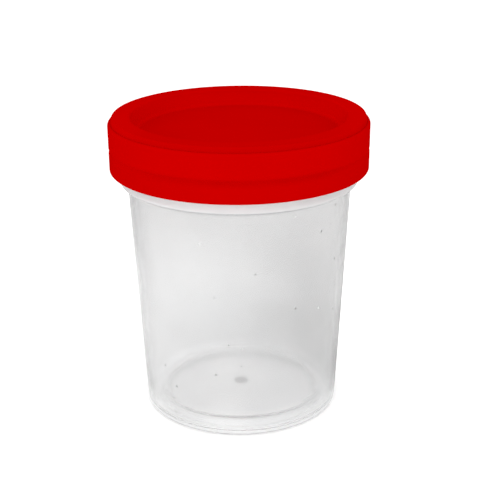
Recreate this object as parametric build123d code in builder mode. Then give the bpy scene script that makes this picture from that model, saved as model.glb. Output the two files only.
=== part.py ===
from build123d import *
from math import cos, radians, tan
import os

# Urine specimen container with a screw cap: a tapered moulded cup with a screw neck, a cap whose
# sunken top makes a plug for the cup's mouth, and the ring gasket between the cap and the rim.
# Millimetres, +Z up. The origin is on the surface the container stands on, under its centre.
# The cap is screwed home. Turning it counter-clockwise from above raises it by one lead a turn.

# Cup body
foot_radius = 23.65  # outer radius of the cup's wall where it would meet the ground
shoulder_radius = 26.83  # outer radius of the cup's wall just under the collar
body_height = 57.2  # ground to the underside of the collar
cup_wall = 1.25
floor_thickness = 1.25
heel_radius = 1.0  # rounding between the wall and the foot
floor_rise = 2.6  # how far the raised floor stands above the foot's own floor
foot_width = 3.5  # outside of the wall to the edge of the raised floor
step_draft = 0.25  # how much the step up to the raised floor leans
step_chamfer = 0.6  # on the corners of that step
trough_chamfer = 0.7  # between the wall and the foot's floor, inside

# Moulding gate in the middle of the underside
gate_radius = 1.75
gate_depth = 0.5
gate_stub_radius = 0.55
gate_stub_height = 0.3

# Collar and neck of the cup
collar_height = 2.7
collar_width = 0.9  # how far the collar stands out from the neck
neck_step = 0.77  # how far the neck stands out from the top of the wall
neck_height = 10.3  # top of the collar to the rim
neck_wall = 1.3
neck_blend = 1.4  # height over which the inside widens from the wall to the neck
rim_chamfer = 0.35
edge_chamfer = 0.3  # on the edges of the foot, the collar and the skirt

# Screw thread, right-handed, one start
thread_lead = 5.08
thread_depth = 1.2
thread_tip_width = 1.0
flank_angle = 30.0  # slope of each side of the thread, from the radial direction
thread_clearance = 0.35  # radial gap between a tip and the wall opposite
flank_clearance = 0.15  # gap along the axis between the sides that pull the cap down
thread_foot_gap = 0.2  # collar to the start of the neck's thread
thread_rim_gap = 1.1  # end of the neck's thread to the rim
thread_sink = 0.25  # how deep a thread is rooted in its wall
cap_run_out = 20.0  # angle over which an end of the cap's thread dies away

# Cap
cap_wall = 1.95
cap_draft = 0.1  # how much narrower the skirt's lower edge is than its top
cap_top_thickness = 1.6
skirt_gap = 0.3  # collar to the skirt's lower edge
skirt_lead_in = 0.5  # chamfer at the mouth of the skirt
skirt_thread_gap = 0.35  # skirt's lower edge to the start of the cap's thread
groove_height = 4.9  # skirt's lower edge to the groove around it
groove_depth = 0.25
groove_width = 1.4  # across its mouth
crown_step = 0.8  # how far the top ring stands in from the skirt
crown_height = 1.3  # how far it stands above the skirt's shoulder
crown_draft = 0.2  # how much narrower the ring's top is than its foot
crown_round = 0.45
shoulder_round = 0.7

# Sunken middle of the cap, with room for the foot of a container stacked on top
recess_depth = 3.8
recess_flare = 1.8  # how much wider the recess is at its mouth than at its floor
recess_edge_round = 0.7
recess_corner_chamfer = 0.6
panel_thickness = 1.4
plug_clearance = 0.15  # plug to the inside of the neck
plug_wall = 2.05  # outside of the plug to the recess at its floor
plug_lip = 1.0  # how far the plug reaches below the sunken panel
plug_lip_width = 1.2
plug_lead_in = 0.5  # chamfer that guides the plug into the neck

# Ring gasket and the bead that keeps it in the cap
gasket_thickness = 1.2
gasket_clearance = 0.2  # gasket to the plug and to the skirt
bead_depth = 0.5
bead_height = 0.8
bead_gap = 0.1  # bead to the gasket

# Levels, from the ground up
floor_level = floor_rise + floor_thickness
collar_top = body_height + collar_height
rim_level = collar_top + neck_height
ceiling_level = rim_level + gasket_thickness
cap_top = ceiling_level + cap_top_thickness
cap_bottom = collar_top + skirt_gap
shoulder_level = cap_top - crown_height
recess_floor = cap_top - recess_depth
plug_bottom = recess_floor - panel_thickness - plug_lip
bead_top = rim_level - bead_gap
bead_bottom = bead_top - bead_height

# Radii, from the cup's wall out to the cap
neck_radius = shoulder_radius + neck_step
neck_bore_radius = neck_radius - neck_wall
collar_radius = neck_radius + collar_width
neck_tip_radius = neck_radius + thread_depth
cap_bore_radius = neck_tip_radius + thread_clearance
cap_tip_radius = neck_radius + thread_clearance
cap_radius = cap_bore_radius + cap_wall
crown_radius = cap_radius - crown_step
plug_radius = neck_bore_radius - plug_clearance
recess_floor_radius = plug_radius - plug_wall
recess_mouth_radius = recess_floor_radius + recess_flare
skirt_lean = cap_draft / (shoulder_level - cap_bottom)
groove_level = cap_bottom + groove_height
groove_floor_radius = cap_radius - skirt_lean * (shoulder_level - groove_level) - groove_depth

# Both threads have the same tip width and side slope, so one rule gives their half widths.
side_slope = tan(radians(flank_angle))
tip_half = thread_tip_width / 2
root_half = tip_half + thread_depth * side_slope
sunk_half = root_half + thread_sink * side_slope
neck_thread_start = collar_top + thread_foot_gap + root_half
neck_thread_rise = rim_level - thread_rim_gap - root_half - neck_thread_start
cap_thread_start = cap_bottom + skirt_thread_gap + root_half
cap_thread_rise = bead_bottom - bead_gap - root_half - cap_thread_start

# The cap's thread hangs under the neck's thread by this much, which sets where it starts.
thread_drop = thread_tip_width + (neck_tip_radius - cap_tip_radius) * side_slope + flank_clearance
cap_thread_angle = 360 * (cap_thread_start + thread_drop - neck_thread_start) / thread_lead


def near(radius, level):
    """The corner of the profile being drawn that is nearest to this radius and level."""
    return vertices().sort_by_distance((radius, level))[0]


# Cup: one turned profile. The wall leans out from the foot to the collar, and the floor steps up
# inside the foot with the same thickness all the way, which leaves a shallow trough around it.
floor_radius = foot_radius - foot_width
hollow_radius = floor_radius - floor_thickness
wall_lean = (shoulder_radius - foot_radius) / body_height
trough_radius = foot_radius + wall_lean * floor_thickness - cup_wall
mouth_radius = shoulder_radius - cup_wall

with BuildPart() as neck_thread:
    with BuildLine() as neck_helix:
        Helix(thread_lead, neck_thread_rise, neck_radius, center=(0, 0, neck_thread_start))
    with BuildSketch(Plane.XZ) as neck_thread_profile:
        Polygon(
            (neck_radius - thread_sink, neck_thread_start - sunk_half),
            (neck_tip_radius, neck_thread_start - tip_half),
            (neck_tip_radius, neck_thread_start + tip_half),
            (neck_radius - thread_sink, neck_thread_start + sunk_half),
            align=None,
        )
    sweep(path=neck_helix.wire(), is_frenet=True)
    # Each end dies away on a flat that is tangent to the neck.
    for turn, level in (
        (0, neck_thread_start),
        (360 * neck_thread_rise / thread_lead, neck_thread_start + neck_thread_rise),
    ):
        with Locations(Location((0, 0, level), (0, 0, turn))):
            with Locations((neck_radius, 0, 0)):
                Box(
                    2 * thread_depth,
                    neck_radius,
                    thread_lead,
                    align=(Align.MIN, Align.CENTER, Align.CENTER),
                    mode=Mode.SUBTRACT,
                )

with BuildPart() as cup:
    with BuildSketch(Plane.XZ) as cup_profile:
        with BuildLine():
            Polyline(
                (0, floor_rise),
                (hollow_radius, floor_rise),
                (hollow_radius + step_draft, 0),
                (foot_radius, 0),
                (shoulder_radius, body_height),
                (collar_radius, body_height),
                (collar_radius, collar_top),
                (neck_radius, collar_top),
                (neck_radius, rim_level),
                (neck_bore_radius, rim_level),
                (neck_bore_radius, body_height + neck_blend),
                (mouth_radius, body_height),
                (trough_radius, floor_thickness),
                (floor_radius + step_draft, floor_thickness),
                (floor_radius, floor_level),
                (0, floor_level),
                close=True,
            )
        make_face()
        fillet(near(foot_radius, 0), heel_radius)
        chamfer(near(hollow_radius + step_draft, 0), edge_chamfer)
        chamfer([near(hollow_radius, floor_rise), near(floor_radius, floor_level)], step_chamfer)
        chamfer(near(trough_radius, floor_thickness), trough_chamfer)
        chamfer([near(collar_radius, body_height), near(collar_radius, collar_top)], edge_chamfer)
        chamfer([near(neck_radius, rim_level), near(neck_bore_radius, rim_level)], rim_chamfer)
    revolve(axis=Axis.Z)
    # Gate: a shallow dimple in the underside with the broken-off stub of the runner in it.
    with Locations((0, 0, floor_rise)):
        Cone(gate_radius, gate_radius - gate_depth, gate_depth,
             align=(Align.CENTER, Align.CENTER, Align.MIN), mode=Mode.SUBTRACT)
    with Locations((0, 0, floor_rise + gate_depth)):
        Cylinder(gate_stub_radius, gate_stub_height, align=(Align.CENTER, Align.CENTER, Align.MAX))
    add(neck_thread.part)
cup.part.label = "cup"

# Cap thread: the same helix moved out to the skirt, its tip pointing inwards.
# An off-centre bore cuts each end back. It touches the skirt at the very end of the thread and
# meets the thread's tip after the run-out angle.
run_out_offset = (cap_bore_radius**2 - cap_tip_radius**2) / (
    2 * (cap_bore_radius - cap_tip_radius * cos(radians(cap_run_out)))
)

with BuildPart() as cap_thread:
    with BuildLine() as cap_helix:
        Helix(thread_lead, cap_thread_rise, cap_bore_radius, center=(0, 0, cap_thread_start))
    with BuildSketch(Plane.XZ) as cap_thread_profile:
        Polygon(
            (cap_tip_radius, cap_thread_start - tip_half),
            (cap_bore_radius + thread_sink, cap_thread_start - sunk_half),
            (cap_bore_radius + thread_sink, cap_thread_start + sunk_half),
            (cap_tip_radius, cap_thread_start + tip_half),
            align=None,
        )
    sweep(path=cap_helix.wire(), is_frenet=True)
    for turn, level in (
        (0, cap_thread_start),
        (360 * cap_thread_rise / thread_lead, cap_thread_start + cap_thread_rise),
    ):
        with Locations(Location((0, 0, level), (0, 0, turn))):
            with Locations((run_out_offset, 0, 0)):
                Cylinder(cap_bore_radius - run_out_offset, thread_lead, mode=Mode.SUBTRACT)

with BuildPart() as screw_cap:
    with BuildSketch(Plane.XZ) as cap_profile:
        with BuildLine():
            Polyline(
                (0, recess_floor - panel_thickness),
                (plug_radius - plug_lip_width, recess_floor - panel_thickness),
                (plug_radius - plug_lip_width, plug_bottom),
                (plug_radius, plug_bottom),
                (plug_radius, ceiling_level),
                (cap_bore_radius, ceiling_level),
                (cap_bore_radius, cap_bottom),
                (cap_radius - cap_draft, cap_bottom),
                (cap_radius, shoulder_level),
                (crown_radius, shoulder_level),
                (crown_radius - crown_draft, cap_top),
                (recess_mouth_radius, cap_top),
                (recess_floor_radius, recess_floor),
                (0, recess_floor),
                close=True,
            )
        make_face()
        fillet(near(crown_radius - crown_draft, cap_top), crown_round)
        fillet(near(recess_mouth_radius, cap_top), recess_edge_round)
        fillet(near(cap_radius, shoulder_level), shoulder_round)
        chamfer(near(recess_floor_radius, recess_floor), recess_corner_chamfer)
        chamfer(near(cap_radius - cap_draft, cap_bottom), edge_chamfer)
        chamfer(near(cap_bore_radius, cap_bottom), skirt_lead_in)
        chamfer(near(plug_radius, plug_bottom), plug_lead_in)
    revolve(axis=Axis.Z)
    # Bead that keeps the gasket in the cap
    with BuildSketch(Plane.XZ) as bead_profile:
        Polygon(
            (cap_bore_radius + thread_sink, bead_bottom),
            (cap_bore_radius, bead_bottom),
            (cap_bore_radius - bead_depth, bead_bottom + bead_height / 2),
            (cap_bore_radius, bead_top),
            (cap_bore_radius + thread_sink, bead_top),
            align=None,
        )
    revolve(axis=Axis.Z)
    # Shallow groove around the skirt, cut from the skirt's own radius at that height
    with BuildSketch(Plane.XZ) as groove_profile:
        Polygon(
            (groove_floor_radius, groove_level),
            (groove_floor_radius + 2 * groove_depth, groove_level - groove_width),
            (groove_floor_radius + 2 * groove_depth, groove_level + groove_width),
            align=None,
        )
    revolve(axis=Axis.Z, mode=Mode.SUBTRACT)
    add(cap_thread.part, rotation=(0, 0, cap_thread_angle))
screw_cap.part.label = "screw_cap"

with BuildPart() as seal_ring:
    with BuildSketch(Plane.XZ) as seal_profile:
        Polygon(
            (plug_radius + gasket_clearance, rim_level),
            (cap_bore_radius - gasket_clearance, rim_level),
            (cap_bore_radius - gasket_clearance, ceiling_level),
            (plug_radius + gasket_clearance, ceiling_level),
            align=None,
        )
    revolve(axis=Axis.Z)
seal_ring.part.label = "seal_ring"

os.makedirs("parts", exist_ok=True)
for piece in (cup, screw_cap, seal_ring):
    export_step(piece.part, f"parts/{piece.part.label}.step")
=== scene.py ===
import bpy
import math
from mathutils import Matrix, Vector


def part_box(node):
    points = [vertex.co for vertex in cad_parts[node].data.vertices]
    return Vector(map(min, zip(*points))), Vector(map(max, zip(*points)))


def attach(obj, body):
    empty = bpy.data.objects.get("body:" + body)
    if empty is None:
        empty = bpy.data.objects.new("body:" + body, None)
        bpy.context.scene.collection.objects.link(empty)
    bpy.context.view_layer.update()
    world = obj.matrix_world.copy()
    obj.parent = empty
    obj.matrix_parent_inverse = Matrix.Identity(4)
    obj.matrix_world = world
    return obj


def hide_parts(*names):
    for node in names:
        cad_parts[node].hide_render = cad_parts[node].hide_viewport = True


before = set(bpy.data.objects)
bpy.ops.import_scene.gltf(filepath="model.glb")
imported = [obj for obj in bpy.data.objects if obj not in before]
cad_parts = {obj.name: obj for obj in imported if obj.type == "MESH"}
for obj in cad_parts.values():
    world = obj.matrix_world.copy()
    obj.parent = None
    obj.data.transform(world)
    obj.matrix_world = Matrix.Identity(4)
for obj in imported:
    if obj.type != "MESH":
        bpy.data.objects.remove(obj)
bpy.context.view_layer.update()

mm = 0.001
white = (1.0, 1.0, 1.0, 1.0)

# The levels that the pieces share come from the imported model, in mm
ringLow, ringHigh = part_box("seal_ring")
capLow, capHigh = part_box("screw_cap")
rimLevel = ringLow.z / mm
ceilingLevel = ringHigh.z / mm
capBottom = capLow.z / mm
capTop = capHigh.z / mm
capRadius = (capHigh.x - capLow.x) / 2 / mm

# One screw thread, raised on the neck and in the cap, in mm
screwThread = {
    "lead": 5.08,
    "depth": 1.2,
    "tipWidth": 1.0,
    "flankAngle": 30.0,
    "flankClearance": 0.15,
    "radialClearance": 0.35,
    "rowGap": 0.15,
}
flankSlope = math.tan(math.radians(screwThread["flankAngle"]))
tipHalf = screwThread["tipWidth"] / 2
rootHalf = tipHalf + screwThread["depth"] * flankSlope

# How finely all three pieces are turned, and how their moulded walls waver, in metres
turning = {
    "steps": 288,
    "arcRows": 6,
    "easing": 0.3,  # how far past each arc an extra row lies, as a share of the rounding
    "sameRadius": 1e-4,  # in mm
    "seamDistance": 1e-6,
    "wobbleScale": 45.0,
    "wobbleDetail": 1.0,
    "calmRadius": 0.005,  # the unevenness dies away towards the axis inside this radius
}


# Outlines

def isNear(first, second):
    # vectors keep fewer digits than plain numbers, so radii are never exactly equal
    return abs(first - second) < turning["sameRadius"]


def runRows(start, end, gap):
    # points between two ends, no further apart than gap, without the first end
    count = max(1, math.ceil((end - start).length / gap))
    return [start.lerp(end, step / count) for step in range(1, count + 1)]


def roundedOutline(corners, rowGap, fineRadius=0.0):
    # corners are (radius, height, rounding) in mm. Runs at fineRadius get the thread's close rows.
    # An extra row beside each arc keeps the flat runs flat under smooth shading.
    arcRows = turning["arcRows"]
    points = [Vector(corners[0][:2])]
    for index in range(1, len(corners)):
        corner = Vector(corners[index][:2])
        before = Vector(corners[index - 1][:2])
        back = (before - corner).normalized()
        fine = fineRadius > 0 and isNear(corner.x, fineRadius) and isNear(before.x, fineRadius)
        gap = screwThread["rowGap"] if fine else rowGap
        rounding = corners[index][2]
        if index == len(corners) - 1 or rounding == 0:
            points += runRows(points[-1], corner, gap)
            continue
        ahead = (Vector(corners[index + 1][:2]) - corner).normalized()
        halfAngle = back.angle(ahead) / 2
        reach = rounding / math.tan(halfAngle)
        centre = corner + (back + ahead).normalized() * rounding / math.sin(halfAngle)
        first = corner + back * reach
        last = corner + ahead * reach
        points += runRows(points[-1], first + back * rounding * turning["easing"], gap)
        points.append(first)
        for step in range(1, arcRows):
            spoke = (first - centre).slerp(last - centre, step / arcRows).normalized()
            points.append(centre + spoke * rounding)
        points.append(last)
        points.append(last + ahead * rounding * turning["easing"])
    return points


# Short ways to add nodes

def nodeAdder(tree):
    # links holds, for each input, a socket to link or a plain value
    def add(kind, links, output=0, **settings):
        node = tree.nodes.new(kind)
        for key, value in settings.items():
            setattr(node, key, value)
        for place, source in links.items():
            if isinstance(source, bpy.types.NodeSocket):
                tree.links.new(source, node.inputs[place])
            else:
                node.inputs[place].default_value = source
        return node.outputs[output]
    return add


def mathAdder(add, kind="ShaderNodeMath"):
    def calc(operation, *values):
        return add(kind, dict(enumerate(values)), operation=operation)
    return calc


def ramp(add, value, start, end, low, high, shape="LINEAR"):
    # low up to start, high from end on, and a slope between them
    return add("ShaderNodeMapRange", {0: value, 1: start, 2: end, 3: low, 4: high},
               interpolation_type=shape)


# Turned pieces, as one Geometry Nodes tree

turnedInputs = {
    "Steps": "NodeSocketInt",
    "Lead": "NodeSocketFloat",
    "Start height": "NodeSocketFloat",
    "Start angle": "NodeSocketFloat",
    "Turns": "NodeSocketFloat",
    "Depth": "NodeSocketFloat",
    "Tip half": "NodeSocketFloat",
    "Root half": "NodeSocketFloat",
    "Run-out turns": "NodeSocketFloat",
    "Wobble": "NodeSocketFloat",
    "Wobble scale": "NodeSocketFloat",
    "Seam distance": "NodeSocketFloat",
    "Finish": "NodeSocketMaterial",
}


def makeTurnedTree():
    tree = bpy.data.node_groups.new("turnedPiece", "GeometryNodeTree")
    tree.interface.new_socket("Section", in_out="INPUT", socket_type="NodeSocketGeometry")
    for label, kind in turnedInputs.items():
        tree.interface.new_socket(label, in_out="INPUT", socket_type=kind)
    tree.interface.new_socket("Piece", in_out="OUTPUT", socket_type="NodeSocketGeometry")
    given = tree.nodes.new("NodeGroupInput").outputs
    add = nodeAdder(tree)
    calc = mathAdder(add)
    whole = mathAdder(add, "FunctionNodeIntegerMath")

    # a grid with one row for each point of the section and one column for each step of the turn
    rows = add("GeometryNodeAttributeDomainSize", {"Geometry": given["Section"]}, "Point Count")
    columns = whole("ADD", given["Steps"], 1)
    grid = add("GeometryNodeMeshGrid", {"Vertices X": columns, "Vertices Y": rows})
    index = add("GeometryNodeInputIndex", {})
    column = whole("DIVIDE_FLOOR", index, rows)
    row = whole("MODULO", index, rows)
    place = add("GeometryNodeInputPosition", {})
    sample = add("GeometryNodeSampleIndex", {"Geometry": given["Section"], "Index": row},
                 data_type="FLOAT_VECTOR")
    tree.links.new(place, sample.node.inputs["Value"])
    wall = add("GeometryNodeInputNamedAttribute", {"Name": "threadWall"}, data_type="FLOAT")
    wallSample = add("GeometryNodeSampleIndex", {"Geometry": given["Section"], "Index": row},
                     data_type="FLOAT")
    tree.links.new(wall, wallSample.node.inputs["Value"])
    split = add("ShaderNodeSeparateXYZ", {0: sample}).node.outputs
    radius = split["X"]
    height = split["Z"]
    turn = calc("DIVIDE", column, given["Steps"])
    angle = calc("MULTIPLY", turn, math.tau)

    # the thread's nearest turn at this angle and height, and the distance from its middle
    around = calc("FRACT", calc("SUBTRACT", turn, given["Start angle"]))
    climbed = calc("DIVIDE", calc("SUBTRACT", height, given["Start height"]), given["Lead"])
    turnsUp = calc("ADD", around, calc("ROUND", calc("SUBTRACT", climbed, around)))
    offCentre = calc("ABSOLUTE", calc("SUBTRACT", climbed, turnsUp))
    distance = calc("MULTIPLY", offCentre, given["Lead"])
    rib = ramp(add, distance, given["Root half"], given["Tip half"], 0.0, 1.0, "SMOOTHSTEP")

    # both ends of the thread die away over the run-out
    left = calc("SUBTRACT", given["Turns"], turnsUp)
    ends = [ramp(add, done, 0.0, given["Run-out turns"], 0.0, 1.0, "SMOOTHSTEP")
            for done in (turnsUp, left)]
    dying = calc("MULTIPLY", *ends)
    fullDepth = calc("MULTIPLY", given["Depth"], wallSample)
    raised = calc("MULTIPLY", calc("MULTIPLY", rib, dying), fullDepth)
    threaded = calc("ADD", radius, raised)

    # a faint unevenness of the moulded wall, always inwards
    east = calc("COSINE", angle)
    north = calc("SINE", angle)
    ideal = add("ShaderNodeCombineXYZ", {
        0: calc("MULTIPLY", threaded, east), 1: calc("MULTIPLY", threaded, north), 2: height})
    noise = add("ShaderNodeTexNoise", {
        "Vector": ideal, "Scale": given["Wobble scale"], "Detail": turning["wobbleDetail"]})
    awayFromAxis = calc("MINIMUM", calc("MULTIPLY", radius, 1 / turning["calmRadius"]), 1.0)
    inwards = calc("MULTIPLY", calc("MULTIPLY", noise, given["Wobble"]), awayFromAxis)
    reach = calc("SUBTRACT", threaded, inwards)
    final = add("ShaderNodeCombineXYZ", {
        0: calc("MULTIPLY", reach, east), 1: calc("MULTIPLY", reach, north), 2: height})

    turned = add("GeometryNodeSetPosition", {"Geometry": grid, "Position": final})
    closed = add("GeometryNodeMergeByDistance", {"Geometry": turned, "Distance": given["Seam distance"]})
    smooth = add("GeometryNodeSetShadeSmooth", {"Geometry": closed, "Shade Smooth": True})
    real = add("GeometryNodeRealizeInstances", {"Geometry": smooth})
    finished = add("GeometryNodeSetMaterial", {"Geometry": real, "Material": given["Finish"]})
    tree.links.new(finished, tree.nodes.new("NodeGroupOutput").inputs["Piece"])
    return tree


turnedTree = makeTurnedTree()
socketNames = {item.name: item.identifier for item in turnedTree.interface.items_tree}

# What a piece hands to the tree where it says nothing else, in mm and degrees
plainWall = {
    "wallRadius": -1.0,  # no point lies there, so nothing is raised
    "startHeight": 0.0,
    "startAngle": 0.0,
    "turns": 0.0,
    "depth": 0.0,
    "runOut": 20.0,
}


def turnPiece(name, outline, finish, thread=plainWall, wobble=0.0):
    # outline in mm becomes a section in metres, which the tree turns about the upright axis
    section = bpy.data.meshes.new(name + "Section")
    section.from_pydata([(point.x * mm, 0, point.y * mm) for point in outline],
                        [(row, row + 1) for row in range(len(outline) - 1)], [])
    thread = {**plainWall, **thread}
    wall = section.attributes.new("threadWall", "FLOAT", "POINT")
    for row, point in enumerate(outline):
        wall.data[row].value = float(isNear(point.x, thread["wallRadius"]))
    holder = bpy.data.objects.new(name + "Holder", section)
    bpy.context.collection.objects.link(holder)
    modifier = holder.modifiers.new("turned", "NODES")
    modifier.node_group = turnedTree
    values = {
        "Steps": turning["steps"],
        "Lead": screwThread["lead"] * mm,
        "Start height": thread["startHeight"] * mm,
        "Start angle": thread["startAngle"] / 360,
        "Turns": thread["turns"],
        "Depth": thread["depth"] * mm,
        "Tip half": tipHalf * mm,
        "Root half": rootHalf * mm,
        "Run-out turns": thread["runOut"] / 360,
        "Wobble": wobble * mm,
        "Wobble scale": turning["wobbleScale"],
        "Seam distance": turning["seamDistance"],
        "Finish": finish,
    }
    for label, value in values.items():
        modifier[socketNames[label]] = value
    shape = holder.evaluated_get(bpy.context.evaluated_depsgraph_get())
    mesh = bpy.data.meshes.new_from_object(shape)
    bpy.data.objects.remove(holder)
    bpy.data.meshes.remove(section)
    piece = bpy.data.objects.new(name, mesh)
    bpy.context.collection.objects.link(piece)
    print(f"{name}: {len(mesh.vertices)} points, {len(mesh.polygons)} faces")
    return piece


# What the finishes share. Their sizes are in metres, because the materials read places in metres.

def newFinish(name):
    material = bpy.data.materials.new(name)
    material.use_nodes = True
    shader = material.node_tree.nodes["Principled BSDF"]
    add = nodeAdder(material.node_tree)
    place = add("ShaderNodeTexCoord", {}, "Object")
    return material, shader, add, place


def stretchedNoise(add, place, scale, detail, stretch=(1.0, 1.0, 1.0)):
    mapped = add("ShaderNodeMapping", {"Vector": place, "Scale": stretch})
    return add("ShaderNodeTexNoise", {"Vector": mapped, "Scale": scale, "Detail": detail})


def mixColours(add, share, first, second):
    return add("ShaderNodeMix", {0: share, 6: first, 7: second}, 2, data_type="RGBA")


def axisDistance(add, place):
    level = add("ShaderNodeMapping", {"Vector": place, "Scale": (1.0, 1.0, 0.0)})
    return add("ShaderNodeVectorMath", {0: level}, "Value", operation="LENGTH")


# Cup, in mm
cup = {
    "footRadius": 23.65,
    "shoulderRadius": 26.83,
    "bodyHeight": 57.2,
    "wall": 1.25,
    "heel": 1.0,
    "floorRise": 2.6,
    "footWidth": 3.5,
    "stepLean": 0.25,
    "stepRound": 0.6,
    "floorEdge": 0.4,
    "hollowEdge": 1.2,
    "gateRadius": 1.75,
    "gateDepth": 0.5,
    "gateRound": 0.2,
    "stubRadius": 0.55,
    "stubHeight": 0.3,
    "stubRound": 0.12,
    "collarHeight": 2.7,
    "collarWidth": 0.9,
    "neckStep": 0.77,
    "neckWall": 1.3,
    "neckCorner": 0.1,
    "neckBlend": 1.4,
    "blendRound": 1.0,
    "edgeRound": 0.3,
    "rimRound": 0.35,
    "threadFootGap": 0.2,
    "threadRimGap": 1.1,
    "threadRunOut": 16.6,
    "rowGap": 2.0,
    "wobble": 0.05,
}
collarTop = cup["bodyHeight"] + cup["collarHeight"]
neckRadius = cup["shoulderRadius"] + cup["neckStep"]
neckBore = neckRadius - cup["neckWall"]
neckThreadStart = collarTop + cup["threadFootGap"] + rootHalf


def makeCup(finish):
    size = cup
    floorLevel = size["floorRise"] + size["wall"]
    floorRadius = size["footRadius"] - size["footWidth"]
    hollowRadius = floorRadius - size["wall"]
    lean = (size["shoulderRadius"] - size["footRadius"]) / size["bodyHeight"]
    troughRadius = size["footRadius"] + lean * size["wall"] - size["wall"]
    stubLevel = size["floorRise"] + size["gateDepth"] - size["stubHeight"]
    gateLevel = size["floorRise"] + size["gateDepth"]
    edge = size["edgeRound"]
    # from the middle of the underside, up the outside, over the rim and down to the middle of the floor
    corners = [
        (0, stubLevel, 0),
        (size["stubRadius"], stubLevel, size["stubRound"]),
        (size["stubRadius"], gateLevel, size["stubRound"]),
        (size["gateRadius"] - size["gateDepth"], gateLevel, size["gateRound"]),
        (size["gateRadius"], size["floorRise"], size["gateRound"]),
        (hollowRadius, size["floorRise"], size["hollowEdge"]),
        (hollowRadius + size["stepLean"], 0, edge),
        (size["footRadius"], 0, size["heel"]),
        (size["shoulderRadius"], size["bodyHeight"], edge),
        (neckRadius + size["collarWidth"], size["bodyHeight"], edge),
        (neckRadius + size["collarWidth"], collarTop, edge),
        (neckRadius, collarTop, size["neckCorner"]),
        (neckRadius, rimLevel, size["rimRound"]),
        (neckBore, rimLevel, size["rimRound"]),
        (neckBore, size["bodyHeight"] + size["neckBlend"], size["blendRound"]),
        (size["shoulderRadius"] - size["wall"], size["bodyHeight"], size["blendRound"]),
        (troughRadius, size["wall"], size["stepRound"]),
        (floorRadius + size["stepLean"], size["wall"], size["stepRound"]),
        (floorRadius, floorLevel, size["floorEdge"]),
        (0, floorLevel, 0),
    ]
    outline = roundedOutline(corners, size["rowGap"], neckRadius)
    rise = rimLevel - size["threadRimGap"] - rootHalf - neckThreadStart
    thread = {
        "wallRadius": neckRadius,
        "startHeight": neckThreadStart,
        "turns": rise / screwThread["lead"],
        "depth": screwThread["depth"],
        "runOut": size["threadRunOut"],
    }
    return turnPiece("specimen_cup", outline, finish, thread, size["wobble"])


cupFinish = {
    "clear": white,
    "cloudy": (0.96, 0.962, 0.965, 1.0),
    "cloudScale": 60.0,
    "cloudLimits": (0.35, 0.65),
    "noiseDetail": 3.0,
    "transmission": 0.9,
    "collarTransmission": 0.35,
    "collarStart": 0.0570,
    "collarEdge": 0.0004,
    "shade": (0.72, 0.72, 0.73, 1.0),
    "cornerBand": (0.0560, 0.0572),
    "collarFade": 0.0024,
    "collarGrey": 0.62,
    "heelFade": 0.0016,
    "heelGrey": 1.0,
    "ior": 1.42,
    "roughness": (0.13, 0.17),
    "hazeLimits": (0.3, 0.7),
    "streakScale": 90.0,
    "streakStretch": (1.0, 1.0, 0.08),
    "streakRelief": 0.08,
    "speckScale": 330.0,
    "speckSize": 0.155,
    "speckShare": 0.10,
    "speckFloor": 0.006,
    "speckRim": (0.50, 0.50, 0.51, 1.0),
    "speckCore": white,
    "speckCoreLimits": (0.25, 0.6),
    "speckHaze": 0.5,
    "speckRelief": 3.0,
    "bump": 0.4,
    "bumpHeight": 0.0002,
    "gateHaze": 0.45,
    "gateColour": (0.66, 0.66, 0.67, 1.0),
    "gateRadius": 0.0020,
    "gateEdge": 0.0004,
    "footClearness": 0.09,
    "footRise": 0.0040,
    "footFade": 0.0006,
}


def shadeCorners(add, height, fromAxis):
    # less light gets into the corner under the collar, up its foot and round the outside of the heel
    look = cupFinish
    calc = mathAdder(add)
    low, high = look["cornerBand"]
    middle = (low + high) / 2
    offMiddle = calc("ABSOLUTE", calc("SUBTRACT", height, middle))
    corner = ramp(add, offMiddle, 0.0, middle - low, 1.0, 0.0, "SMOOTHSTEP")
    grey = ramp(add, height, high, high + look["collarFade"], look["collarGrey"], 0.0)
    collar = calc("MULTIPLY", grey, calc("GREATER_THAN", height, middle))
    foot = ramp(add, height, 0.0, look["heelFade"], look["heelGrey"], 0.0)
    heelEdge = (cup["footRadius"] - cup["heel"]) * mm
    heel = calc("MULTIPLY", foot, calc("GREATER_THAN", fromAxis, heelEdge))
    return calc("MAXIMUM", calc("MAXIMUM", corner, collar), heel)


def scatterSpecks(add, place, height):
    # a few tiny specks in the wall, none in the floor, each with a pale core
    look = cupFinish
    calc = mathAdder(add)
    cells = add("ShaderNodeTexVoronoi", {"Vector": place, "Scale": look["speckScale"]}).node.outputs
    draw = add("ShaderNodeSeparateColor", {0: cells["Color"]}, "Red")
    drawn = calc("LESS_THAN", draw, look["speckShare"])
    chosen = calc("MULTIPLY", drawn, calc("GREATER_THAN", height, look["speckFloor"]))
    dome = ramp(add, cells["Distance"], 0.0, look["speckSize"], 1.0, 0.0, "SMOOTHSTEP")
    specks = calc("MULTIPLY", chosen, dome)
    cores = ramp(add, specks, *look["speckCoreLimits"], 0.0, 1.0)
    return specks, cores


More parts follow.
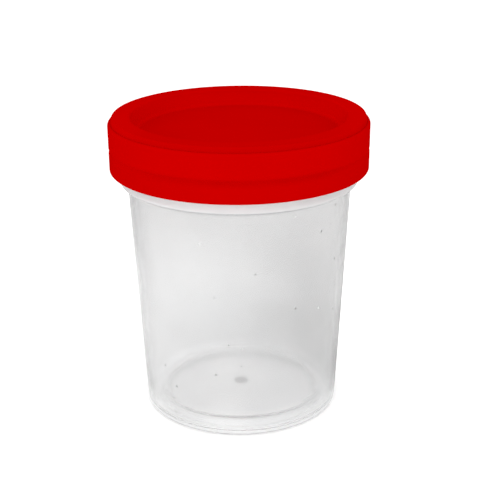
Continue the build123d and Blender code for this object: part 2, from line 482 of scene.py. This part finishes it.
def makeCupFinish():
    material, shader, add, place = newFinish("cupPlastic")
    look = cupFinish
    calc = mathAdder(add)
    link = material.node_tree.links.new
    height = add("ShaderNodeSeparateXYZ", {0: place}, "Z")
    fromAxis = axisDistance(add, place)
    clouds = stretchedNoise(add, place, look["cloudScale"], look["noiseDetail"])
    patches = ramp(add, clouds, *look["cloudLimits"], 0.0, 1.0)
    tint = mixColours(add, patches, look["clear"], look["cloudy"])

    # the gate under the middle of the floor is greyer where the runner broke off
    gateRound = ramp(add, fromAxis, look["gateRadius"] - look["gateEdge"], look["gateRadius"], 1.0, 0.0)
    underside = (cup["floorRise"] + cup["wall"] / 2) * mm
    gateMark = calc("MULTIPLY", gateRound, calc("LESS_THAN", height, underside))
    marked = mixColours(add, gateMark, tint, look["gateColour"])
    shaded = mixColours(add, shadeCorners(add, height, fromAxis), marked, look["shade"])
    specks, cores = scatterSpecks(add, place, height)
    speckTint = mixColours(add, cores, look["speckRim"], look["speckCore"])
    link(mixColours(add, specks, shaded, speckTint), shader.inputs["Base Color"])

    # flow marks run up the wall, and haze changes the gloss from place to place
    streaks = stretchedNoise(add, place, look["streakScale"], look["noiseDetail"], look["streakStretch"])
    haze = ramp(add, streaks, *look["hazeLimits"], *look["roughness"])
    link(haze, shader.inputs["Roughness"])
    relief = calc("ADD", calc("MULTIPLY", streaks, look["streakRelief"]),
                  calc("MULTIPLY", specks, look["speckRelief"]))
    bump = add("ShaderNodeBump", {
        "Strength": look["bump"], "Distance": look["bumpHeight"], "Height": relief})
    link(bump, shader.inputs["Normal"])

    # the thick collar and the neck are whiter than the thin wall
    thin = ramp(add, height, look["collarStart"], look["collarStart"] + look["collarEdge"],
                look["transmission"], look["collarTransmission"])
    # the foot ring is clearer, while the gate and the cores of the specks are cloudy
    footEdge = (cup["footRadius"] - cup["footWidth"]) * mm
    outer = calc("GREATER_THAN", fromAxis, footEdge)
    footRing = ramp(add, height, look["footRise"] - look["footFade"], look["footRise"],
                    look["footClearness"], 0.0)
    change = calc("MULTIPLY", outer, footRing)
    change = calc("SUBTRACT", change, calc("MULTIPLY", gateMark, look["gateHaze"]))
    change = calc("SUBTRACT", change, calc("MULTIPLY", cores, look["speckHaze"]))
    clearness = calc("MULTIPLY", thin, calc("ADD", 1.0, change))
    link(clearness, shader.inputs["Transmission Weight"])
    shader.inputs["IOR"].default_value = look["ior"]
    return material


# Cap, in mm
cap = {
    "wall": 1.95,
    "draft": 0.1,
    "leadIn": 0.5,
    "edgeRound": 0.35,
    "grooveHeight": 4.9,
    "grooveDepth": 0.25,
    "grooveHalf": 0.7,
    "grooveEdge": 0.3,
    "grooveRound": 0.4,
    "crownStep": 0.8,
    "crownDraft": 0.2,
    "crownHeight": 1.3,
    "crownFoot": 0.1,
    "crownRound": 0.45,
    "shoulderRound": 0.7,
    "recessDepth": 3.8,
    "recessFlare": 1.8,
    "recessEdge": 0.7,
    "recessCorner": 1.2,
    "panel": 1.4,
    "plugClearance": 0.15,
    "plugWall": 2.05,
    "plugRound": 0.5,
    "plugLip": 1.0,
    "plugLipWidth": 1.2,
    "plugLipRound": 0.3,
    "innerRound": 0.2,
    "beadDepth": 0.5,
    "beadHeight": 0.8,
    "beadGap": 0.1,
    "beadFoot": 0.1,
    "beadRound": 0.15,
    "threadGap": 0.35,
    "threadRunOut": 20.0,
    "rowGap": 2.0,
    "wobble": 0.03,
}


def makeCap(finish):
    size = cap
    bore = capRadius - size["wall"]
    shoulder = capTop - size["crownHeight"]
    crown = capRadius - size["crownStep"]
    plug = neckBore - size["plugClearance"]
    lip = plug - size["plugLipWidth"]
    recessFloor = capTop - size["recessDepth"]
    panelUnder = recessFloor - size["panel"]
    plugBottom = panelUnder - size["plugLip"]
    recessRadius = plug - size["plugWall"]
    beadTop = rimLevel - size["beadGap"]
    beadBottom = beadTop - size["beadHeight"]
    lean = size["draft"] / (shoulder - capBottom)
    groove = capBottom + size["grooveHeight"]
    grooveRadius = capRadius - lean * (shoulder - groove)
    inner = size["innerRound"]
    # from the middle of the underside, round the plug, down the bore, up the skirt and into the recess
    corners = [
        (0, panelUnder, 0),
        (lip, panelUnder, size["plugLipRound"]),
        (lip, plugBottom, size["plugLipRound"]),
        (plug, plugBottom, size["plugRound"]),
        (plug, ceilingLevel, inner),
        (bore, ceilingLevel, inner),
        (bore, beadTop, size["beadFoot"]),
        (bore - size["beadDepth"], (beadTop + beadBottom) / 2, size["beadRound"]),
        (bore, beadBottom, size["beadFoot"]),
        (bore, capBottom + size["leadIn"], inner),
        (bore + size["leadIn"], capBottom, inner),
        (capRadius - size["draft"], capBottom, size["edgeRound"]),
        (grooveRadius, groove - size["grooveHalf"], size["grooveEdge"]),
        (grooveRadius - size["grooveDepth"], groove, size["grooveRound"]),
        (grooveRadius, groove + size["grooveHalf"], size["grooveEdge"]),
        (capRadius, shoulder, size["shoulderRound"]),
        (crown, shoulder, size["crownFoot"]),
        (crown - size["crownDraft"], capTop, size["crownRound"]),
        (recessRadius + size["recessFlare"], capTop, size["recessEdge"]),
        (recessRadius, recessFloor, size["recessCorner"]),
        (0, recessFloor, 0),
    ]
    outline = roundedOutline(corners, size["rowGap"], bore)
    start = capBottom + size["threadGap"] + rootHalf
    rise = beadBottom - size["beadGap"] - rootHalf - start
    # the cap's thread hangs under the neck's, which sets the angle where it starts
    tipGap = screwThread["depth"] - screwThread["radialClearance"]
    drop = screwThread["tipWidth"] + tipGap * flankSlope + screwThread["flankClearance"]
    thread = {
        "wallRadius": bore,
        "startHeight": start,
        "startAngle": 360 * (start + drop - neckThreadStart) / screwThread["lead"],
        "turns": rise / screwThread["lead"],
        "depth": -screwThread["depth"],
        "runOut": size["threadRunOut"],
    }
    return turnPiece("red_cap", outline, finish, thread, size["wobble"])


capFinish = {
    "light": (0.547, 0.0, 0.0, 1.0),
    "dark": (0.507, 0.0, 0.0, 1.0),
    "cloudScale": 70.0,
    "noiseDetail": 2.0,
    # painted shade in the groove around the skirt and on the outside of the ring
    "grooveReach": 0.0014,
    "grooveShade": 0.13,
    "paintedShadeLimits": (0.35, 0.65),
    "paintedShadeShares": (0.4, 1.0),
    "crownEdge": 0.0004,
    "crownShade": 0.07,
    # where the painted shade fades out at two opposite sides
    "sideFadeBand": (0.0165, 0.0275),
    # painted light on the wall of the recess and on the ring, more at the two sides
    "sideLift": 0.05,
    "wallLift": 0.08,
    "ringLift": 0.01,
    # painted shade on the skirt below the groove
    "lowShade": 0.035,
    "roughness": (0.36, 0.44),
    "glossLimits": (0.3, 0.7),
    "specular": 0.0,
    "grainScale": 900.0,
    "bump": 0.08,
    "bumpHeight": 0.0001,
}


def makeCapFinish():
    material, shader, add, place = newFinish("capPlastic")
    look = capFinish
    calc = mathAdder(add)
    link = material.node_tree.links.new
    height = add("ShaderNodeSeparateXYZ", {0: place}, "Z")
    fromAxis = axisDistance(add, place)
    clouds = stretchedNoise(add, place, look["cloudScale"], look["noiseDetail"])
    tint = mixColours(add, clouds, look["dark"], look["light"])

    # painted shade in the groove around the skirt, stronger in places, and on the outside of the ring
    grooveLevel = (capBottom + cap["grooveHeight"]) * mm
    offGroove = calc("ABSOLUTE", calc("SUBTRACT", height, grooveLevel))
    paintedGrooveShade = ramp(add, offGroove, 0.0, look["grooveReach"], look["grooveShade"], 0.0, "SMOOTHSTEP")
    shadeStrength = ramp(add, clouds, *look["paintedShadeLimits"], *look["paintedShadeShares"])
    crownRadius = (capRadius - cap["crownStep"] - cap["crownDraft"] - cap["crownRound"] / 2) * mm
    outside = ramp(add, fromAxis, crownRadius - look["crownEdge"], crownRadius, 0.0, look["crownShade"])
    above = calc("GREATER_THAN", height, (capTop - cap["crownHeight"]) * mm)
    paintedShades = calc("ADD", calc("MULTIPLY", paintedGrooveShade, shadeStrength), calc("MULTIPLY", outside, above))

    # the painted shade fades out at two opposite sides, and painted shade makes the skirt a little darker
    # below the groove
    sideways = calc("ABSOLUTE", add("ShaderNodeSeparateXYZ", {0: place}, "X"))
    sideFade = ramp(add, sideways, *look["sideFadeBand"], 1.0, 0.0, "SMOOTHSTEP")
    below = calc("LESS_THAN", height, grooveLevel)
    darker = calc("ADD", calc("MULTIPLY", paintedShades, sideFade), calc("MULTIPLY", below, look["lowShade"]))

    # painted light on the ring and the wall of the recess, more so at the same two sides
    recessLevel = (capTop - cap["recessDepth"]) * mm
    start = ramp(add, height, recessLevel, recessLevel + look["crownEdge"], 0.0, 1.0)
    inside = calc("LESS_THAN", fromAxis, crownRadius)
    lift = ramp(add, height, recessLevel, capTop * mm, look["wallLift"], look["ringLift"])
    lift = calc("ADD", lift, calc("MULTIPLY", calc("SUBTRACT", 1.0, sideFade), look["sideLift"]))
    lighter = calc("MULTIPLY", calc("MULTIPLY", start, inside), lift)
    kept = calc("ADD", calc("SUBTRACT", 1.0, darker), lighter)
    # the red with its painted shade and painted light
    paintedTint = add("ShaderNodeVectorMath", {0: tint, "Scale": kept}, operation="SCALE")
    link(paintedTint, shader.inputs["Base Color"])

    # fine grain
    grain = stretchedNoise(add, place, look["grainScale"], look["noiseDetail"])
    gloss = ramp(add, grain, *look["glossLimits"], *look["roughness"])
    link(gloss, shader.inputs["Roughness"])
    shader.inputs["Specular IOR Level"].default_value = look["specular"]
    bump = add("ShaderNodeBump", {
        "Strength": look["bump"], "Distance": look["bumpHeight"], "Height": grain})
    link(bump, shader.inputs["Normal"])
    return material


# Gasket, in mm. Its outline starts and ends in the middle of its lower face.
gasket = {
    "clearance": 0.2,
    "edgeRound": 0.1,
    "rowGap": 0.5,
}


def makeGasket(finish):
    size = gasket
    inner = neckBore - cap["plugClearance"] + size["clearance"]
    outer = capRadius - cap["wall"] - size["clearance"]
    middle = (inner + outer) / 2
    edge = size["edgeRound"]
    corners = [
        (middle, rimLevel, 0),
        (outer, rimLevel, edge),
        (outer, ceilingLevel, edge),
        (inner, ceilingLevel, edge),
        (inner, rimLevel, edge),
        (middle, rimLevel, 0),
    ]
    return turnPiece("ring_gasket", roundedOutline(corners, size["rowGap"]), finish)


gasketFinish = {
    "light": (0.88, 0.88, 0.85, 1.0),
    "dark": (0.78, 0.78, 0.74, 1.0),
    "roughness": 0.85,
    "cellScale": 2200.0,
    "bump": 0.5,
    "bumpHeight": 0.0001,
}


def makeGasketFinish():
    # foam with closed cells
    material, shader, add, place = newFinish("gasketFoam")
    look = gasketFinish
    link = material.node_tree.links.new
    cells = add("ShaderNodeTexVoronoi", {"Vector": place, "Scale": look["cellScale"]}, "Distance")
    link(mixColours(add, cells, look["dark"], look["light"]), shader.inputs["Base Color"])
    shader.inputs["Roughness"].default_value = look["roughness"]
    bump = add("ShaderNodeBump", {
        "Strength": look["bump"], "Distance": look["bumpHeight"], "Height": cells})
    link(bump, shader.inputs["Normal"])
    return material


cupPiece = makeCup(makeCupFinish())
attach(cupPiece, "cup")
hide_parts("cup")

capPiece = makeCap(makeCapFinish())
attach(capPiece, "screw_cap")
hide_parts("screw_cap")

gasketPiece = makeGasket(makeGasketFinish())
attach(gasketPiece, "seal_ring")
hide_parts("seal_ring")
print("container made")


# Studio, in metres
studio = {
    "floorReach": 3.0,
    "floorColour": (0.9, 0.9, 0.9, 1.0),
    "floorRoughness": 0.9,
    "floorLift": 0.35,
    "worldStrength": 0.9,
    "glowLeft": 0.8,
    "glowRight": 0.8,
    "glowFocus": 4.0,
    "keyPlace": (-0.10, -0.62, 0.30),
    "keySize": 0.45,
    "keyPower": 1.22,
    "throughLevel": 0.88,
    "poolWander": 0.03,
    "poolScale": 28.0,
    "poolDetail": 3.0,
    # how far east and north, the reach and the gain of each soft pool of light on the floor
    "pools": [
        (-0.030, 0.090, 0.095, 0.14),
        (-0.020, 0.150, 0.050, -0.10),
        (-0.062, 0.060, 0.050, 0.30),
        (-0.046, 0.018, 0.034, 0.22),
        (-0.006, 0.032, 0.022, -0.08),
        (0.028, 0.105, 0.058, -0.22),
        (0.032, 0.066, 0.048, -0.15),
        (0.030, 0.040, 0.044, -0.33),
        (0.060, 0.047, 0.040, 0.24),
        (0.021, 0.012, 0.026, -0.18),
        (0.002, -0.022, 0.020, 0.10),
    ],
    "aim": (0.0, 0.0, 0.05),
}


def poolBrightness(add, place):
    # a plain level with soft pools on it, whose edges wander a little
    calc = mathAdder(add)
    vectorCalc = mathAdder(add, "ShaderNodeVectorMath")
    drift = add("ShaderNodeTexNoise", {
        "Vector": place, "Scale": studio["poolScale"], "Detail": studio["poolDetail"]}, "Color")
    centred = vectorCalc("SUBTRACT", drift, (0.5, 0.5, 0.5))
    wander = add("ShaderNodeVectorMath", {0: centred, "Scale": studio["poolWander"]}, operation="SCALE")
    spot = vectorCalc("ADD", place, wander)
    brightness = studio["throughLevel"]
    for east, north, reach, gain in studio["pools"]:
        away = add("ShaderNodeVectorMath", {0: spot, 1: (east, north, 0.0)}, "Value", operation="DISTANCE")
        pool = ramp(add, away, 0.0, reach, gain, 0.0, "SMOOTHSTEP")
        brightness = calc("ADD", brightness, pool)
    return brightness


def makeFloor():
    floorMesh = bpy.data.meshes.new("studioFloor")
    side = studio["floorReach"]
    corners = [(-side, -side, 0), (side, -side, 0), (side, side, 0), (-side, side, 0)]
    floorMesh.from_pydata(corners, [], [(0, 1, 2, 3)])
    floor = bpy.data.objects.new("studio_floor", floorMesh)
    bpy.context.collection.objects.link(floor)
    material, shader, add, place = newFinish("paleFloor")
    calc = mathAdder(add)
    link = material.node_tree.links.new
    shader.inputs["Base Color"].default_value = studio["floorColour"]
    shader.inputs["Roughness"].default_value = studio["floorRoughness"]
    shader.inputs["Specular IOR Level"].default_value = 0.0
    shader.inputs["Emission Color"].default_value = white
    # to the camera the floor is lifted to the white of the background, and keeps its shadow
    rays = add("ShaderNodeLightPath", {}).node.outputs
    lift = calc("MULTIPLY", rays["Is Camera Ray"], studio["floorLift"])
    link(lift, shader.inputs["Emission Strength"])
    # what the cup lets through or mirrors shows the floor nearly as bright as the background
    bright = add("ShaderNodeEmission", {"Color": white, "Strength": poolBrightness(add, place)})
    through = calc("MAXIMUM", rays["Is Transmission Ray"], rays["Is Glossy Ray"])
    both = add("ShaderNodeMixShader", {0: through, 1: shader.outputs["BSDF"], 2: bright})
    link(both, material.node_tree.nodes["Material Output"].inputs["Surface"])
    floorMesh.materials.append(material)


def makeWorld():
    world = bpy.data.worlds.new("studioWorld")
    bpy.context.scene.world = world
    world.use_nodes = True
    add = nodeAdder(world.node_tree)
    calc = mathAdder(add)
    # a glow low down at each side, as from two white screens
    way = add("ShaderNodeSeparateXYZ", {0: add("ShaderNodeTexCoord", {}, "Generated")}).node.outputs
    low = calc("SUBTRACT", 1.0, calc("ABSOLUTE", way["Z"]))
    lit = studio["worldStrength"]
    for side, glow in ((-1.0, studio["glowLeft"]), (1.0, studio["glowRight"])):
        towards = calc("MAXIMUM", calc("MULTIPLY", way["X"], side), 0.0)
        spread = calc("MULTIPLY", calc("POWER", towards, studio["glowFocus"]), low)
        lit = calc("ADD", lit, calc("MULTIPLY", spread, glow))
    # the camera sees plain white, and so does what the cup mirrors or lets through
    rays = add("ShaderNodeLightPath", {}).node.outputs
    through = calc("MAXIMUM", rays["Is Glossy Ray"], rays["Is Transmission Ray"])
    seen = calc("MAXIMUM", rays["Is Camera Ray"], through)
    strength = ramp(add, seen, 0.0, 1.0, lit, 1.0)
    background = world.node_tree.nodes["Background"].inputs
    background["Color"].default_value = white
    world.node_tree.links.new(strength, background["Strength"])


def makeLamp():
    light = bpy.data.lights.new("softKey", "AREA")
    light.size = studio["keySize"]
    light.energy = studio["keyPower"]
    lamp = bpy.data.objects.new("soft_key", light)
    bpy.context.collection.objects.link(lamp)
    lamp.location = studio["keyPlace"]
    lamp.rotation_euler = (Vector(studio["aim"]) - lamp.location).to_track_quat("-Z", "Y").to_euler()


makeFloor()
makeWorld()
makeLamp()
bpy.context.scene.view_settings.view_transform = "Standard"
print("studio made")

# Camera, fitted to the outline of the container in the photograph, in mm and degrees
shot = {
    "distance": 279.2,
    "height": 141.8,
    "pitchDown": 19.83,
    "roll": -0.584,
    "lens": 90.75,
    "sensor": 36.0,
}
camera = bpy.data.objects.new("camera", bpy.data.cameras.new("camera"))
bpy.context.collection.objects.link(camera)
camera.data.lens = shot["lens"]
camera.data.sensor_width = shot["sensor"]
camera.data.sensor_fit = "HORIZONTAL"
camera.matrix_world = (
    Matrix.Translation((0, -shot["distance"] * mm, shot["height"] * mm))
    @ Matrix.Rotation(math.radians(90 - shot["pitchDown"]), 4, "X")
    @ Matrix.Rotation(math.radians(shot["roll"]), 4, "Z")
)
bpy.context.scene.camera = camera
print("camera set")
